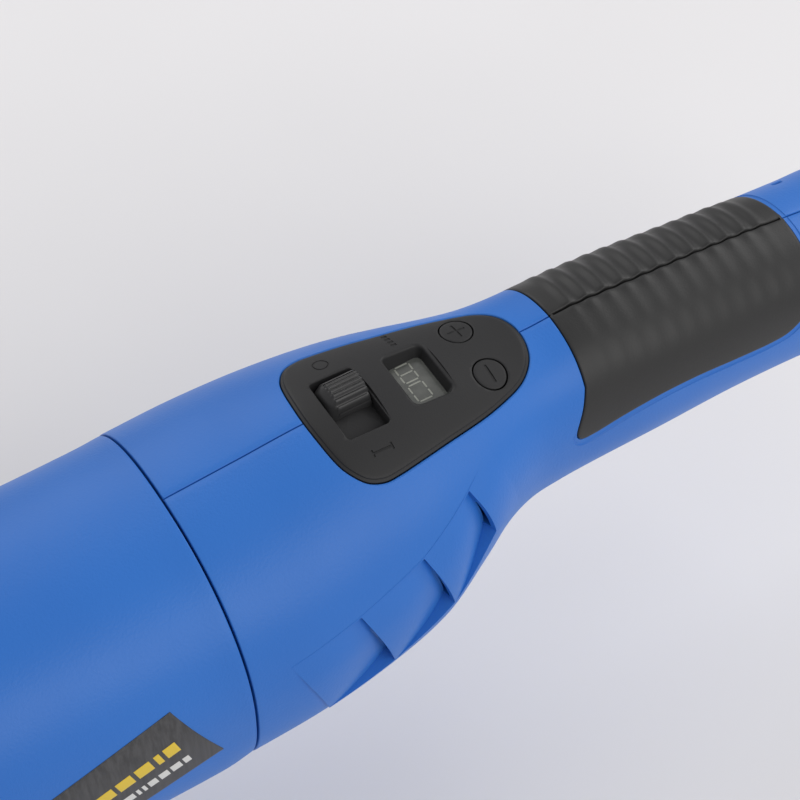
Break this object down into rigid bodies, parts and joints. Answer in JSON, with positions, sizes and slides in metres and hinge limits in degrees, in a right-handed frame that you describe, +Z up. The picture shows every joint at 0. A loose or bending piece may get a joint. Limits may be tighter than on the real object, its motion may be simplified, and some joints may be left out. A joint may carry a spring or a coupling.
{
  "type": "dual action polisher",
  "caption": "Lying motor barrel with a slim gripped handle and top control panel, bevel-geared to a vertical spindle that swings a free-spinning round pad plate on an eccentric.",
  "frame": {"origin": "on the drive spindle's axis, in the plane of the pad plate's hook face", "axes": "+X along the motor and handle to the tail, +Z up along the drive spindle, +Y to the side with the off mark"},
  "size_m": [0.443, 0.123, 0.137],
  "materials": {
    "blue": "satin, fine texture",
    "dark": "fine texture",
    "rubber": "matt",
    "lens": "clear, glossy",
    "module": "matt",
    "board": "lacquered",
    "alloy": "cast and machined",
    "amber": "glossy",
    "white": "matt",
    "steel": "ground",
    "badge": "brushed look",
    "brass": "pressed",
    "carbon": "matt",
    "core": "stacked sheets",
    "copper": "lacquered wire",
    "foam": "moulded",
    "hook": "hook fabric"
  },
  "bodies": {
    "housing": {"motor_housing": "blue", "left_handle_shell": "blue", "right_handle_shell": "blue", "left_grip": "rubber", "right_grip": "rubber", "control_panel": "dark", "display_lens": "lens", "display_module": "module", "control_board": "board", "switch_body": "dark", "power_module": "dark", "heat_sink": "alloy", "noise_capacitor": "amber", "terminal_block": "white", "cord_gland": "rubber", "cord_clamp": "dark", "handle_screws": "steel", "left_badge": "badge", "right_badge": "badge", "brush_frame": "dark", "brush_holders": "brass", "carbon_brushes": "carbon", "brush_springs": "steel", "stator_core": "core", "field_coils": "copper", "air_baffle": "dark", "front_motor_bearing": "steel", "rear_motor_bearing": "steel", "bearing_bush": "rubber", "motor_bearing_plate": "alloy", "gear_head": "alloy", "head_cover": "rubber", "housing_screws": "steel", "bearing_flange": "alloy", "flange_screws": "steel", "spindle_bearings": "steel", "dust_seal": "rubber", "shroud": "rubber"},
    "rotor": {"armature_shaft": "steel", "bevel_pinion": "steel", "armature_core": "core", "armature_winding": "copper", "commutator": "copper", "cooling_fan": "dark", "motor_bearing_inners": "steel"},
    "spindle": {"drive_spindle": "steel", "crown_gear": "steel", "counterweight": "alloy", "spindle_bearing_inners": "steel", "eccentric_bearings": "steel"},
    "pad": {"pad_spindle": "steel", "spindle_clip": "steel", "eccentric_bearing_inners": "steel", "pad_bolt": "steel", "backing_plate": "dark", "plate_cushion": "foam", "hook_face": "hook"},
    "slider": {"power_slider": "dark"},
    "plus": {"plus_button": "dark"},
    "minus": {"minus_button": "dark"}
  },
  "joints": [
    {"name": "spindle_turn", "type": "hinge", "parent": "housing", "child": "spindle", "pos_m": [0, 0, 0.065], "axis": [0, 0, 1], "continuous": true},
    {"name": "rotor_turn", "type": "hinge", "parent": "housing", "child": "rotor", "pos_m": [0.098, 0, 0.088], "axis": [1, 0, 0], "continuous": true},
    {"name": "pad_turn", "type": "hinge", "parent": "spindle", "child": "pad", "pos_m": [0.0075, 0, 0.037], "axis": [0, 0, 1], "continuous": true},
    {"name": "power_slide", "type": "slide", "parent": "housing", "child": "slider", "axis": [0, -1, 0], "range_m": [0, 0.008]},
    {"name": "plus_press", "type": "slide", "parent": "housing", "child": "plus", "axis": [0, 0, -1], "range_m": [0, 0.0006], "stiffness_N_per_m": 2000, "springref_m": -0.0005},
    {"name": "minus_press", "type": "slide", "parent": "housing", "child": "minus", "axis": [0, 0, -1], "range_m": [0, 0.0006], "stiffness_N_per_m": 2000, "springref_m": -0.0005}
  ],
  "couplings": [
    {"joint": "rotor_turn", "follows": "spindle_turn", "ratio": 3.9091}
  ]
}
